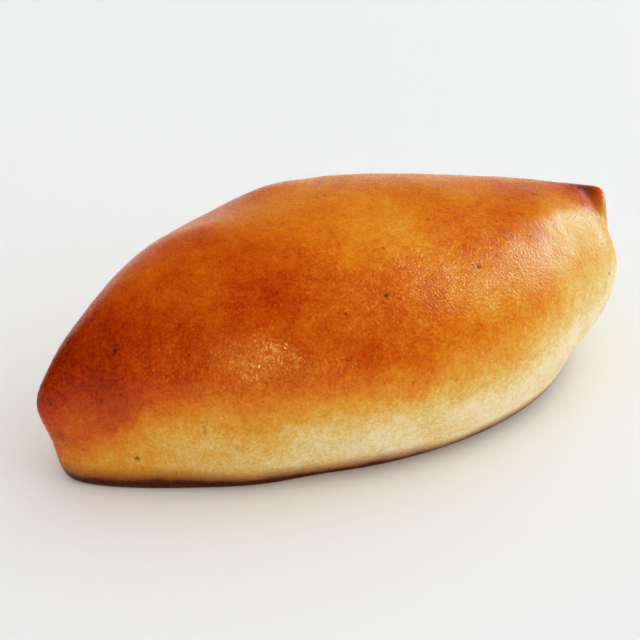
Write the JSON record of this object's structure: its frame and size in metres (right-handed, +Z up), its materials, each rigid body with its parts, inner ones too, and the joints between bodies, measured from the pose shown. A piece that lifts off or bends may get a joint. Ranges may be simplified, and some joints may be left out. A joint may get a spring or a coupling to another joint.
{
  "type": "piroshki",
  "caption": "Baked, closed bun in the shape of a small boat, with a domed, egg-washed, browned crust, a bow-like nose, a pinched nub at the other end and a flat base.",
  "frame": {"origin": "middle of the bun's outline on the table, at the height of the flat base", "axes": "+X along the length towards the far, pinched nose, +Z up, and -Y towards the side the picture shows"},
  "size_m": [0.119, 0.066, 0.039],
  "materials": {
    "crust": "egg-washed baked crust, orange brown on top, pale along the flank, dark at the base"
  },
  "bodies": {
    "root": {"bun": "crust"}
  },
  "joints": []
}
